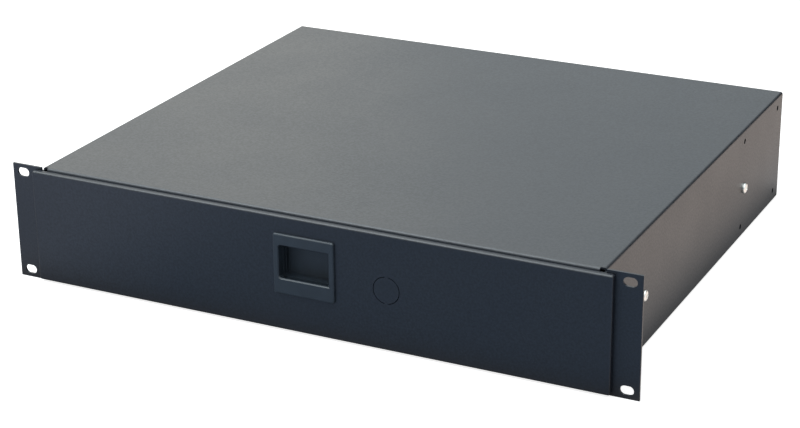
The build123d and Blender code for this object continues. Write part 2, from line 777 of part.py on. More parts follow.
# Latch bolt: it slides up and down, with a ramp at the rear for slamming shut and a slot for the arm
with BuildPart() as latch_bolt:
    with BuildSketch(Plane.YZ) as bolt_profile:
        with BuildLine():
            Polyline(
                (bolt_front_y, bolt_bottom_z),
                (bolt_front_y, bolt_top_z),
                (bolt_front_y + bolt_nose, bolt_top_z),
                (bolt_back_y, bolt_top_z - bolt_ramp_drop),
                (bolt_back_y, bolt_bottom_z),
                close=True,
            )
        make_face()
    extrude(amount=bolt_width / 2, both=True)
    fillet(latch_bolt.edges().filter_by(Axis.X).sort_by(Axis.Z)[-2:], bolt_edge_radius)
    with BuildSketch(Plane.XZ.offset(-bolt_front_y)) as slot_outline:
        with Locations((0, arm_tip_z)):
            Rectangle(trigger_arm_width + 4 * tip_clearance, 2 * (trigger_tip_radius + tip_clearance))
    extrude(amount=-(bolt_bite + 2 * tip_clearance), mode=Mode.SUBTRACT)
save(latch_bolt.part, "latch_bolt")

# Latch spring: a steel strip folded to and fro between the floor of the chamber and the bolt
spring_foot_z = chamber_floor_z + spring_strip / 2
spring_head_z = bolt_bottom_z - spring_strip / 2
spring_pitch = (spring_head_z - spring_foot_z) / spring_folds
swings = [bolt_middle_y + (-1) ** i * spring_depth / 2 for i in range(spring_folds + 3)]
heights = [spring_foot_z, *[spring_foot_z + i * spring_pitch for i in range(spring_folds + 1)], spring_head_z]
with BuildPart() as latch_spring:
    with BuildSketch(Plane.YZ) as spring_profile:
        with BuildLine():
            FilletPolyline(*zip(swings, heights), radius=spring_bend)
        trace(line_width=spring_strip)
    extrude(amount=spring_width / 2, both=True)
save(latch_spring.part, "latch_spring")
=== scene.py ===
"""Sliding rack drawer, two rack units high: looks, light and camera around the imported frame.

Metres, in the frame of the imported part: +X right as seen from the front, -Y front, +Z up.
"""

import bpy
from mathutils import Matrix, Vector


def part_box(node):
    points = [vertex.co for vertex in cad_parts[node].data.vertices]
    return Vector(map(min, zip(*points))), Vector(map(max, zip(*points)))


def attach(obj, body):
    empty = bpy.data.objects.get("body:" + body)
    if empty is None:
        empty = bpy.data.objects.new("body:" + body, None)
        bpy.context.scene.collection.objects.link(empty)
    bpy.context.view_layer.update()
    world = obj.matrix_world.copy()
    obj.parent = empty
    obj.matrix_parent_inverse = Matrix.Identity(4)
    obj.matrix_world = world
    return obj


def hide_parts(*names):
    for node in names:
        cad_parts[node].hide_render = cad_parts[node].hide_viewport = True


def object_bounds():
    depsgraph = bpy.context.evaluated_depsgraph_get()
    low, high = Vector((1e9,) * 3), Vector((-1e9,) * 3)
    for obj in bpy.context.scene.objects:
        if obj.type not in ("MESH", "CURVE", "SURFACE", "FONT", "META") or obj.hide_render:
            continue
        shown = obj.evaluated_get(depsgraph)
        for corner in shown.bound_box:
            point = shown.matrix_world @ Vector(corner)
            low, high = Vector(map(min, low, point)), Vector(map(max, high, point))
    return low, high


bl_info = {
    "name": "Sliding Rack Drawer",
    "version": (1, 0, 0),
    "blender": (4, 5, 0),
    "location": "3D View > Sidebar > Rack Drawer",
    "description": "Dresses a two-unit sliding rack drawer and lights it for a product picture",
    "category": "Object",
}

from math import cos, radians, sin

import bpy
from bpy.props import FloatProperty, FloatVectorProperty, PointerProperty
from bpy.types import NodeSocket, Operator, Panel, PropertyGroup
from mathutils import Matrix, Vector

MM = 0.001
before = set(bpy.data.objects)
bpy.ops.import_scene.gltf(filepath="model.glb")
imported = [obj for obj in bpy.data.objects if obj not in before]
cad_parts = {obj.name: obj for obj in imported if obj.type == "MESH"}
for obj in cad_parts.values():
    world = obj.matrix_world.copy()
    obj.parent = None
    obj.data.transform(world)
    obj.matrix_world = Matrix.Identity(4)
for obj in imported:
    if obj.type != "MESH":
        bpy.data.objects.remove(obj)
cad_box = [list(corner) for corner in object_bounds()]
floor_height = cad_box[0][2]
# Half the width of the case behind its ears, and its depth
HALF_WIDTH = 0.216
DEPTH = cad_box[1][1]
SIDES = {"left": -1, "right": 1}
WHITE = (1.0, 1.0, 1.0, 1.0)

# Fineness of the new meshes
SMOOTH_BELOW = radians(35)
WELD_GAP = 0.001 * MM
SCREW_STEPS = 48
CROWN_STEP = 6
BALL_SEGMENTS = 40
BALL_RINGS = 20
PAD_SEGMENTS = 6

# Pan head: the rim's height as a share of the head's, how full the crown above it is, and the cross recess
# as shares of radius and height
RIM_SHARE = 0.42
CROWN_FULLNESS = 0.5
SLOT_LENGTH = 1.15
SLOT_WIDTH = 0.24
SLOT_DEPTH = 0.6
SLOT_TAPER = 0.5
# Each screw stopped at its own angle, in degrees, when it was tightened
FIRST_TURN = 17
TURN_STEP = 31

# Noise stretched along the slides, which turns its spots into rolling lines
LINE_STRETCH = (1.0, 0.02, 1.0)

# Places on the floor between which its painted reflection and painted shade change, as gloss shows it
CONTACT_REACH = 38 * MM
ROOM_REFLECTION_EDGE_X = (-0.34, -0.1)
ROOM_REFLECTION_EDGE_Y = (-0.03, 0.0)
FRONT_EDGE_Y = (-0.06, 0.0)
FOOT_EDGE_Y = (-0.02, 0.02)
SIDE_EDGE_X = (HALF_WIDTH, HALF_WIDTH + 50 * MM)
EAR_SHADE_EDGE_X = (-0.3, -0.255)
EAR_SHADE_EDGE_Y = (-0.19, -0.12)

# Painted reflections in the sky that only gloss shows: a black flag behind on the right, and a brighter
# ceiling above a given height
PAINTED_FLAG_DIRECTION = (0.374, 0.83, 0.413)
PAINTED_FLAG_EDGE = (0.79, 0.92)
CEILING_HIGHLIGHT_EDGE = (0.45, 0.8)

LIT_POINT = (0.0, 0.19, 0.0)
SOFTBOXES = {
    "overhead_softbox": {"position": (-0.6, -0.4, 1.35), "size": (0.9, 0.9), "colour": (0.88, 0.96, 1.0)},
    "rear_softbox": {"position": (-1.15, 1.0, 0.62), "size": (1.5, 1.0), "colour": (1.0, 0.88, 0.7)},
}
LOOK_AT = Vector((0.0707, -0.0015, 0.0570))
SENSOR_WIDTH = 36.0
CLIP_END = 50.0
FLOOR_GAP = 0.2 * MM
PAPER_GREY = (0.8, 0.8, 0.8, 1.0)


def linear(hex_colour):
    """An sRGB hex colour as linear red, green and blue."""
    channels = [int(hex_colour[i : i + 2], 16) / 255 for i in (1, 3, 5)]
    return [c / 12.92 if c <= 0.04045 else ((c + 0.055) / 1.055) ** 2.4 for c in channels]


def colour_property(name, description, hex_colour):
    """A colour setting with its default given as sRGB hex."""
    return FloatVectorProperty(
        name=name,
        description=description,
        default=linear(hex_colour),
        size=3,
        min=0.0,
        max=1.0,
        subtype="COLOR",
    )


def length_property(name, description, millimetres):
    """A length setting with its default given in millimetres."""
    return FloatProperty(
        name=name, description=description, default=millimetres * MM, min=0.0, unit="LENGTH"
    )


def angle_property(name, description, degrees):
    """An angle setting with its default given in degrees."""
    return FloatProperty(name=name, description=description, default=radians(degrees), subtype="ANGLE")


def number_property(name, description, value):
    """A setting that is a plain number."""
    return FloatProperty(name=name, description=description, default=value, min=0.0)


class FinishSettings(PropertyGroup):
    coat_colour: colour_property("Powder coat", "Colour of the coat on case, tray and front", "#171b23")
    coat_grain: length_property("Coat grain", "Width of the fine ripples in the powder coat", 1.6)
    film_patch: length_property("Film patch", "Width of the slow changes in the coat's thickness", 60.0)
    zinc_colour: colour_property("Zinc plate", "Colour of the bright zinc on slides and screws", "#e6e6e3")
    zinc_cloud: length_property("Zinc cloud", "Width of the cloudy patches in the zinc", 9.0)
    rolling_line: length_property("Rolling line", "Width of the lines along the rolled slides", 0.33)
    steel_colour: colour_property("Bearing steel", "Colour of balls, pin and spring", "#d3d5d6")
    steel_scuff: length_property("Steel scuff", "Width of the scuffs on balls, pin and spring", 0.8)
    nylon_colour: colour_property("Moulded nylon", "Colour of the latch housing and trigger", "#1d262f")
    nylon_grain: length_property("Nylon grain", "Width of the grain etched into the mould", 0.5)
    nylon_flow: length_property("Nylon flow", "Width of the flow marks in the nylon", 12.0)
    rubber_colour: colour_property("Rubber", "Colour of the bumpers", "#17181a")
    rubber_bloom: length_property("Rubber bloom", "Width of the patches of bloom on the rubber", 2.0)


class HardwareSettings(PropertyGroup):
    case_head: length_property("Case screw head", "Radius of the pan heads on the case", 4.0)
    case_head_height: length_property("Case screw head height", "Height of the pan heads on the case", 2.4)
    tray_head: length_property("Tray screw head", "Radius of the pan heads in the tray", 3.5)
    tray_head_height: length_property("Tray screw head height", "Height of the pan heads in the tray", 2.0)
    shank: length_property("Shank", "Radius of the screw shanks", 2.0)
    slide_height: FloatProperty(
        name="Slide height", description="Height of the slides' middle line", default=-4.0 * MM, unit="LENGTH"
    )
    ball: length_property("Ball", "Radius of the bearing balls", 2.0)
    pad_width: length_property("Pad width", "Width and height of the rubber pads", 5.0)
    pad_corner: length_property("Pad corner", "Corner radius of the rubber pads", 1.1)


class StageSettings(PropertyGroup):
    azimuth: angle_property("Azimuth", "Camera angle round the part", 26.44)
    elevation: angle_property("Elevation", "Camera angle above the part", 21.96)
    roll: angle_property("Roll", "Camera roll", -0.56)
    distance: length_property("Distance", "From the camera to the point that it looks at", 1376.0)
    lens: FloatProperty(name="Lens", description="Focal length", default=94.0, unit="CAMERA")
    floor_size: length_property("Floor", "Width of the floor", 12000.0)
    paper_glow: number_property("Paper", "Own light of the paper to the camera", 0.82)
    # Painted reflections, down to the sky tint: the floor and sky as only gloss sees them, with painted shade
    # near the part, painted tints, a painted dim room, a painted flag and a painted ceiling
    contact_shade: number_property("Contact", "Brightness of the paper next to the part, in gloss", 0.36)
    foot_shade: number_property("Foot", "Brightness of the floor at the front's foot, in gloss", 0.65)
    ear_reflection_shade: number_property("Paper end", "Brightness of the floor at the left ear, in gloss", 0.62)
    room_reflection_colour: colour_property("Room", "Colour of the dim room in front on the right, in gloss", "#99b5d6")
    side_reflection_tint: colour_property("Side tint", "Colour of the floor beside the part, in gloss", "#fff1e8")
    side_reflection_gain: number_property("Side gain", "Brightness of the floor on the right, in gloss", 1.36)
    front_reflection_tint: colour_property("Front tint", "Colour of the floor in front of the part, in gloss", "#d8e6ff")
    front_reflection_gain: number_property("Front gain", "Brightness of the floor in front, in gloss", 1.5)
    ceiling_highlight_gain: number_property("Ceiling", "Extra brightness of the ceiling, in gloss", 2.7)
    painted_flag_shade: number_property("Flag", "Brightness of the black flag, in gloss", 0.05)
    sky_reflection_tint: colour_property("Sky tint", "Colour of the sky, in gloss", "#f5feff")
    world_strength: number_property("Sky", "Brightness of the even white light around", 0.5)
    key_power: number_property("Key light", "Power of the softbox overhead", 15.0)
    rear_power: number_property("Rear light", "Power of the softbox behind on the left", 3.0)


def add_node(tree, kind, values=None):
    """Add one shader node; link its inputs to the sockets given, and set its other inputs and attributes."""
    node = tree.nodes.new(kind)
    for key, value in (values or {}).items():
        if isinstance(value, NodeSocket):
            tree.links.new(value, node.inputs[key])
        elif isinstance(key, int) or key in node.inputs:
            node.inputs[key].default_value = value
        else:
            setattr(node, key, value)
    return node


def add_maths(tree, operation, *values):
    """Add one math node on sockets or numbers and return its result."""
    return add_node(tree, "ShaderNodeMath", {"operation": operation, **dict(enumerate(values))}).outputs[0]


def add_ramp(tree, socket, edge, values, kind="SMOOTHSTEP"):
    """Add a change of a value from one end of an edge to the other and return its result."""
    settings = {
        "interpolation_type": kind,
        "From Min": edge[0],
        "From Max": edge[1],
        "To Min": values[0],
        "To Max": values[1],
        "Value": socket,
    }
    return add_node(tree, "ShaderNodeMapRange", settings).outputs[0]


def add_mix(tree, factor, first, second):
    """Add a mix of two colours, given as sockets or numbers, and return its colour."""
    settings = {"data_type": "RGBA", "Factor": factor, "A": first, "B": second}
    return add_node(tree, "ShaderNodeMix", settings).outputs["Result"]


def add_noise(tree, vector, width, **settings):
    """Add a noise with features of a given width and return its value."""
    node = add_node(tree, "ShaderNodeTexNoise", {"Scale": 1 / width, "Vector": vector, **settings})
    return node.outputs["Fac"]


def add_tones(tree, socket, colour, places, factors):
    """Add a ramp from a darker to a lighter tone of one colour and return its colour."""
    node = add_node(tree, "ShaderNodeValToRGB", {"Fac": socket})
    for element, place, factor in zip(node.color_ramp.elements, places, factors):
        element.position = place
        element.color = shaded(colour, factor)
    return node.outputs["Color"]


def add_relief(tree, height, strength, depth):
    """Add a bump of a given depth and return its normal."""
    node = add_node(tree, "ShaderNodeBump", {"Strength": strength, "Distance": depth, "Height": height})
    return node.outputs["Normal"]


def new_material(name):
    """A material without nodes, its tree, and object coordinates in it."""
    material = bpy.data.materials.new(name)
    material.use_nodes = True
    tree = material.node_tree
    tree.nodes.clear()
    return material, tree, add_node(tree, "ShaderNodeTexCoord").outputs["Object"]


def close_material(tree, shader):
    """Link a shader to the output of its tree."""
    add_node(tree, "ShaderNodeOutputMaterial", {"Surface": shader.outputs[0]})


def solid_colour(colour):
    """A colour setting with full alpha."""
    return (*colour, 1.0)


def shaded(colour, factor):
    """A colour setting made lighter or darker by a factor."""
    return (*[min(1.0, c * factor) for c in colour], 1.0)


def powder_coat(finish):
    """Polyester powder coat on sheet steel: satin black, with the fine ripple of a cured powder film."""
    material, tree, place = new_material("black_polyester_powder_coat")
    ripple = add_noise(tree, place, finish.coat_grain, Detail=3.0, Roughness=0.55)
    # Slow changes of film thickness shift the gloss a little
    film = add_noise(tree, place, finish.film_patch, Detail=2.0)
    film_gloss = add_ramp(tree, film, edge=(0.3, 0.7), values=(0.4, 0.43))
    # The crests of the ripple are burnished by handling, which gives the coat its fine sparkle
    grain_gloss = add_ramp(tree, ripple, edge=(0.35, 0.65), values=(0.03, -0.03))
    coat = add_node(
        tree,
        "ShaderNodeBsdfPrincipled",
        {
            "IOR": 1.5,
            "Base Color": add_tones(tree, ripple, finish.coat_colour, places=(0.3, 0.7), factors=(0.6, 1.42)),
            "Roughness": add_maths(tree, "ADD", grain_gloss, film_gloss),
            "Normal": add_relief(tree, ripple, strength=0.6, depth=0.09 * MM),
        },
    )
    close_material(tree, coat)
    return material


def zinc_plate(finish):
    """Bright zinc plating on formed steel: a pale metal with faint cloudy patches and rolling lines."""
    material, tree, place = new_material("bright_zinc_plate")
    clouds = add_noise(tree, place, finish.zinc_cloud, Detail=4.0)
    stretched = add_node(tree, "ShaderNodeMapping", {"Scale": LINE_STRETCH, "Vector": place})
    lines = add_noise(tree, stretched.outputs["Vector"], finish.rolling_line, Detail=1.0)
    tone = add_tones(tree, clouds, finish.zinc_colour, places=(0.35, 0.7), factors=(0.93, 1.03))
    plate = add_node(
        tree,
        "ShaderNodeBsdfPrincipled",
        {
            "Metallic": 1.0,
            "Base Color": tone,
            "Roughness": add_ramp(tree, clouds, edge=(0.3, 0.7), values=(0.28, 0.38), kind="LINEAR"),
            "Normal": add_relief(tree, lines, strength=0.15, depth=0.02 * MM),
        },
    )
    close_material(tree, plate)
    return material


def bearing_steel(finish):
    """Polished hardened steel: nearly a mirror, with fine scuffs from running."""
    material, tree, place = new_material("polished_bearing_steel")
    scuffs = add_noise(tree, place, finish.steel_scuff, Detail=5.0)
    steel = add_node(
        tree,
        "ShaderNodeBsdfPrincipled",
        {
            "Metallic": 1.0,
            "Base Color": solid_colour(finish.steel_colour),
            "Roughness": add_ramp(tree, scuffs, edge=(0.35, 0.7), values=(0.1, 0.24), kind="LINEAR"),
        },
    )
    close_material(tree, steel)
    return material


def moulded_nylon(finish):
    """Glass-filled nylon from a finely etched mould: a slightly blue black with a soft, grainy sheen."""
    material, tree, place = new_material("moulded_glass_filled_nylon")
    grain = add_noise(tree, place, finish.nylon_grain, Detail=2.0)
    flow = add_noise(tree, place, finish.nylon_flow, Detail=3.0)
    nylon = add_node(
        tree,
        "ShaderNodeBsdfPrincipled",
        {
            "IOR": 1.53,
            "Roughness": 0.52,
            "Base Color": add_tones(tree, flow, finish.nylon_colour, places=(0.35, 0.7), factors=(0.85, 1.2)),
            "Normal": add_relief(tree, grain, strength=0.3, depth=0.03 * MM),
        },
    )
    close_material(tree, nylon)
    return material


def soft_rubber(finish):
    """Moulded soft rubber: a dull black with a faint bloom on the surface."""
    material, tree, place = new_material("soft_moulded_rubber")
    bloom = add_noise(tree, place, finish.rubber_bloom, Detail=4.0)
    rubber = add_node(
        tree,
        "ShaderNodeBsdfPrincipled",
        {
            "IOR": 1.52,
            "Roughness": 0.8,
            "Base Color": add_tones(tree, bloom, finish.rubber_colour, places=(0.0, 1.0), factors=(0.8, 1.6)),
        },
    )
    close_material(tree, rubber)
    return material


def finish_nodes(names, material):
    """Give carried-over pieces of the frame a material, on every slot that they have."""
    for name in names:
        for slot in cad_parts[name].material_slots:
            slot.material = material


def both(*stems):
    """Names of the left and right piece of each stem."""
    return [f"{stem}_{side}" for stem in stems for side in SIDES]


def activate(piece):
    """Select one object alone and make it the active one."""
    bpy.ops.object.select_all(action="DESELECT")
    piece.select_set(True)
    bpy.context.view_layer.objects.active = piece


def join_all(name, pieces):
    """Join objects into one with its origin at the world's origin."""
    activate(pieces[0])
    for piece in pieces:
        piece.select_set(True)
    bpy.ops.object.join()
    bpy.ops.object.transform_apply(location=True, rotation=True, scale=True)
    joined = bpy.context.object
    joined.name = name
    return joined


def add_block(place, size):
    """A box of a given size around a place, with its origin at the world's origin."""
    bpy.ops.object.select_all(action="DESELECT")
    bpy.ops.mesh.primitive_cube_add(size=1.0, location=place)
    block = bpy.context.object
    block.scale = size
    bpy.ops.object.transform_apply(location=True, rotation=True, scale=True)
    return block


def hand_over(piece, body, node, material):
    """Let a new piece take the place of a node, on its body and in its slot."""
    piece.data.materials.clear()
    piece.data.materials.append(material)
    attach(piece, body)
    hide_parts(node)


def pan_head_screw(head_radius, head_height, shank_radius, shank_length):
    """A pan-head screw along +Z with a domed crown and a tapered cross recess; its seat is at the origin."""
    crown = [
        (
            head_radius * cos(radians(degrees)) ** CROWN_FULLNESS,
            head_height * (RIM_SHARE + (1 - RIM_SHARE) * sin(radians(degrees))),
        )
        for degrees in range(0, 90, CROWN_STEP)
    ]
    profile = [
        (0.0, -shank_length),
        (shank_radius, -shank_length),
        (shank_radius, 0.0),
        (head_radius, 0.0),
        *crown,
        (0.0, head_height),
    ]
    edges = [(i, i + 1) for i in range(len(profile) - 1)]
    mesh = bpy.data.meshes.new("screw")
    mesh.from_pydata([(r, 0.0, z) for r, z in profile], edges, [])
    screw = bpy.data.objects.new("screw", mesh)
    bpy.context.collection.objects.link(screw)
    activate(screw)
    bpy.ops.object.modifier_add(type="SCREW")
    turned = screw.modifiers[-1]
    turned.steps = turned.render_steps = SCREW_STEPS
    turned.use_merge_vertices = True
    turned.merge_threshold = WELD_GAP
    bpy.ops.object.modifier_apply(modifier=turned.name)
    bpy.ops.object.mode_set(mode="EDIT")
    bpy.ops.mesh.select_all(action="SELECT")
    bpy.ops.mesh.remove_doubles(threshold=WELD_GAP)
    bpy.ops.mesh.normals_make_consistent(inside=False)
    bpy.ops.object.mode_set(mode="OBJECT")
    for length, width in ((SLOT_LENGTH, SLOT_WIDTH), (SLOT_WIDTH, SLOT_LENGTH)):
        size = (head_radius * length, head_radius * width, 2 * head_height * SLOT_DEPTH)
        cutter = add_block((0.0, 0.0, head_height), size)
        for corner in cutter.data.vertices:
            if corner.co.z < head_height:
                corner.co.x *= SLOT_TAPER
                corner.co.y *= SLOT_TAPER
        activate(screw)
        bpy.ops.object.modifier_add(type="BOOLEAN")
        cut = screw.modifiers[-1]
        cut.operation = "DIFFERENCE"
        cut.object = cutter
        bpy.ops.object.modifier_apply(modifier=cut.name)
        bpy.data.objects.remove(cutter)
    bpy.ops.object.shade_smooth_by_angle(angle=SMOOTH_BELOW)
    return screw


def place_screws(node, screw, places, outward):
    """Put copies of one screw at given places, with heads that point along X by the given sign."""
    copies = []
    facing = Matrix.Rotation(outward * radians(90), 4, "Y")
    for i, place in enumerate(places):
        activate(screw)
        bpy.ops.object.duplicate()
        copy = bpy.context.object
        turn = Matrix.Rotation(radians(FIRST_TURN + TURN_STEP * i), 4, "Z")
        copy.matrix_world = Matrix.Translation(place) @ facing @ turn
        copies.append(copy)
    bpy.data.objects.remove(screw)
    return join_all(f"{node}_real", copies)


class COAT_OT_sheet_metal(Operator):
    """Powder-coat the case, the tray, the drawer front and the strike"""

    bl_idname = "rack_drawer.coat_sheet_metal"
    bl_label = "Coat Sheet Metal"

    def execute(self, context):
        coat = powder_coat(context.scene.drawer_finish)
        finish_nodes(["case_wrapper", "case_floor", "rear_panel", "strike_plate"], coat)
        finish_nodes(["drawer_tray", "drawer_front"], coat)
        return {"FINISHED"}


class PLATE_OT_slides(Operator):
    """Zinc-plate the slides, their cages, the latch bolt and the cover's screws, and polish pin and spring"""

    bl_idname = "rack_drawer.plate_slides"
    bl_label = "Plate Slides and Latch Parts"

    def execute(self, context):
        finish = context.scene.drawer_finish
        zinc = zinc_plate(finish)
        finish_nodes(both("slide_outer", "slide_middle", "slide_inner"), zinc)
        finish_nodes(both("ball_cage_outer", "ball_cage_inner"), zinc)
        finish_nodes(["latch_cover_screws", "latch_bolt"], zinc)
        finish_nodes(["latch_pin", "latch_spring"], bearing_steel(finish))
        return {"FINISHED"}


class FASTEN_OT_slides(Operator):
    """Turn the pan-head screws of the slides and put them in place of the plain ones"""

    bl_idname = "rack_drawer.fasten_slides"
    bl_label = "Fasten Slides"

    def execute(self, context):
        hardware = context.scene.drawer_hardware
        zinc = bpy.data.materials["bright_zinc_plate"]
        kinds = (
            ("slide_screws", "enclosure", 1, hardware.case_head, hardware.case_head_height),
            ("tray_screws", "drawer", -1, hardware.tray_head, hardware.tray_head_height),
        )
        for side, sign in SIDES.items():
            for kind, body, heading, head_radius, head_height in kinds:
                node = f"{kind}_{side}"
                low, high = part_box(node)
                outward = sign * heading
                crown_x, shank_x = (high[0], low[0]) if outward > 0 else (low[0], high[0])
                seat_x = crown_x - outward * head_height
                rows = (low[1] + head_radius, high[1] - head_radius)
                places = [(seat_x, y, hardware.slide_height) for y in rows]
                screw = pan_head_screw(head_radius, head_height, hardware.shank, abs(seat_x - shank_x))
                hand_over(place_screws(node, screw, places, outward), body, node, zinc)
        return {"FINISHED"}


class ROLL_OT_balls(Operator):
    """Grind the bearing balls true round and put them in their cages"""

    bl_idname = "rack_drawer.roll_balls"
    bl_label = "Roll Balls"

    def execute(self, context):
        radius = context.scene.drawer_hardware.ball
        steel = bpy.data.materials["polished_bearing_steel"]
        for side in SIDES:
            for row in ("outer", "inner"):
                node = f"balls_{row}_{side}"
                low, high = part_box(node)
                x = (low[0] + high[0]) / 2
                balls = []
                for y in (low[1] + radius, (low[1] + high[1]) / 2, high[1] - radius):
                    for z in (low[2] + radius, high[2] - radius):
                        bpy.ops.object.select_all(action="DESELECT")
                        bpy.ops.mesh.primitive_uv_sphere_add(
                            segments=BALL_SEGMENTS, ring_count=BALL_RINGS, radius=radius, location=(x, y, z)
                        )
                        bpy.ops.object.shade_smooth()
                        balls.append(context.object)
                balls = join_all(f"{node}_real", balls)
                hand_over(balls, f"cage_{row}_{side}", node, steel)
        return {"FINISHED"}


class MOULD_OT_latch(Operator):
    """Give the latch's housing, cover and trigger their moulded nylon"""

    bl_idname = "rack_drawer.mould_latch"
    bl_label = "Mould Latch"

    def execute(self, context):
        nylon = moulded_nylon(context.scene.drawer_finish)
        finish_nodes(["latch_housing", "latch_cover", "latch_trigger"], nylon)
        return {"FINISHED"}


class PAD_OT_front(Operator):
    """Mould the four rubber pads behind the drawer front, with rounded corners and edges"""

    bl_idname = "rack_drawer.pad_front"
    bl_label = "Pad Front"

    def execute(self, context):
        hardware = context.scene.drawer_hardware
        width = hardware.pad_width
        low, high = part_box("front_bumpers")
        y = (low[1] + high[1]) / 2
        pads = []
        for x in (low[0] + width / 2, high[0] - width / 2):
            for z in (low[2] + width / 2, high[2] - width / 2):
                pad = add_block((x, y, z), (width, high[1] - low[1], width))
                bpy.ops.object.modifier_add(type="BEVEL")
                rounding = pad.modifiers[-1]
                rounding.width = hardware.pad_corner
                rounding.segments = PAD_SEGMENTS
                bpy.ops.object.modifier_apply(modifier=rounding.name)
                bpy.ops.object.shade_smooth_by_angle(angle=SMOOTH_BELOW)
                pads.append(pad)
        rubber = soft_rubber(context.scene.drawer_finish)
        hand_over(join_all("front_bumpers_real", pads), "drawer", "front_bumpers", rubber)
        return {"FINISHED"}


def painted_reflection_colour(tree, stage, x, y, room):
    """Painted reflection colour of the paper, which only gloss sees: warm beside the part, cool in front of
    it, a painted dim room in front of it on the right.
    """
    beside = add_ramp(tree, x, SIDE_EDGE_X, (0.0, 1.0))
    in_front = add_ramp(tree, y, FRONT_EDGE_Y, (1.0, 0.0))
    colour = add_mix(tree, beside, WHITE, solid_colour(stage.side_reflection_tint))
    colour = add_mix(tree, in_front, colour, solid_colour(stage.front_reflection_tint))
    return add_mix(tree, room, colour, solid_colour(stage.room_reflection_colour))


def painted_reflection_brightness(tree, stage, x, y, room):
    """Painted reflection brightness of the paper in gloss: a painted shadow next to the part, painted shade
    at the front's foot and at the left ear, brighter beside and in front of it.
    """
    beside = add_maths(tree, "SUBTRACT", add_maths(tree, "ABSOLUTE", x), HALF_WIDTH)
    in_front = add_maths(tree, "MULTIPLY", y, -1.0)
    behind = add_maths(tree, "SUBTRACT", y, DEPTH)
    gap = add_maths(tree, "MAXIMUM", beside, add_maths(tree, "MAXIMUM", in_front, behind))
    # Painted shadow in the reflection: next to the part the paper is darker in gloss
    contact = add_ramp(tree, gap, (0.0, CONTACT_REACH), (stage.contact_shade, 1.0))
    # Painted shade in the reflection: darker at the front's foot, just in front of the part
    foot = add_maths(
        tree,
        "MAXIMUM",
        add_ramp(tree, y, FRONT_EDGE_Y, (1.0, stage.foot_shade)),
        add_ramp(tree, y, FOOT_EDGE_Y, (0.0, 1.0)),
    )
    # Painted shade in the reflection: the floor near the left end, which the left ear mirrors, is darker in
    # gloss
    painted_ear_shade = add_maths(
        tree,
        "MAXIMUM",
        add_ramp(tree, x, EAR_SHADE_EDGE_X, (stage.ear_reflection_shade, 1.0)),
        add_ramp(tree, y, EAR_SHADE_EDGE_Y, (1.0, 0.0)),
    )
    shade = add_maths(tree, "MULTIPLY", add_maths(tree, "MULTIPLY", contact, foot), painted_ear_shade)
    # Painted reflection brightness: brighter in front of the part and beside it on the right
    in_paper = add_maths(tree, "SUBTRACT", 1.0, room)
    extra = add_maths(
        tree, "MULTIPLY", in_paper, add_ramp(tree, y, FRONT_EDGE_Y, (stage.front_reflection_gain - 1.0, 0.0))
    )
    side_reflection_gain = add_ramp(tree, x, SIDE_EDGE_X, (1.0, stage.side_reflection_gain))
    gain = add_maths(tree, "MULTIPLY", side_reflection_gain, add_maths(tree, "ADD", 1.0, extra))
    return add_maths(tree, "MULTIPLY", shade, gain)


def white_floor(stage):
    """Seamless white paper: white to the camera with a soft shadow, and in gloss a painted reflection with
    painted tints and painted shade.
    """
    material, tree, place = new_material("seamless_white_paper")
    split = add_node(tree, "ShaderNodeSeparateXYZ", {"Vector": place})
    x, y = split.outputs[0], split.outputs[1]
    # Painted reflection: in gloss the paper in front of the part shows a dim room, most of all on the right,
    # which the front panel mirrors
    room_y = add_ramp(tree, y, ROOM_REFLECTION_EDGE_Y, (1.0, 0.0))
    room = add_maths(tree, "MULTIPLY", room_y, add_ramp(tree, x, ROOM_REFLECTION_EDGE_X, (0.0, 1.0)))
    # Painted reflection: an emission that only gloss rays see, with painted tints and painted shade
    in_gloss = add_node(
        tree,
        "ShaderNodeEmission",
        {
            "Color": painted_reflection_colour(tree, stage, x, y, room),
            "Strength": painted_reflection_brightness(tree, stage, x, y, room),
        },
    )
    paper = add_node(tree, "ShaderNodeBsdfDiffuse", {"Color": PAPER_GREY}).outputs[0]
    glow = add_node(tree, "ShaderNodeEmission", {"Strength": stage.paper_glow})
    to_camera = add_node(tree, "ShaderNodeAddShader", {0: paper, 1: glow.outputs[0]})
    path = add_node(tree, "ShaderNodeLightPath")
    camera_ray, glossy_ray = path.outputs["Is Camera Ray"], path.outputs["Is Glossy Ray"]
    first = add_node(tree, "ShaderNodeMixShader", {0: camera_ray, 1: paper, 2: to_camera.outputs[0]})
    mix = add_node(tree, "ShaderNodeMixShader", {0: glossy_ray, 1: first.outputs[0], 2: in_gloss.outputs[0]})
    close_material(tree, mix)
    return material


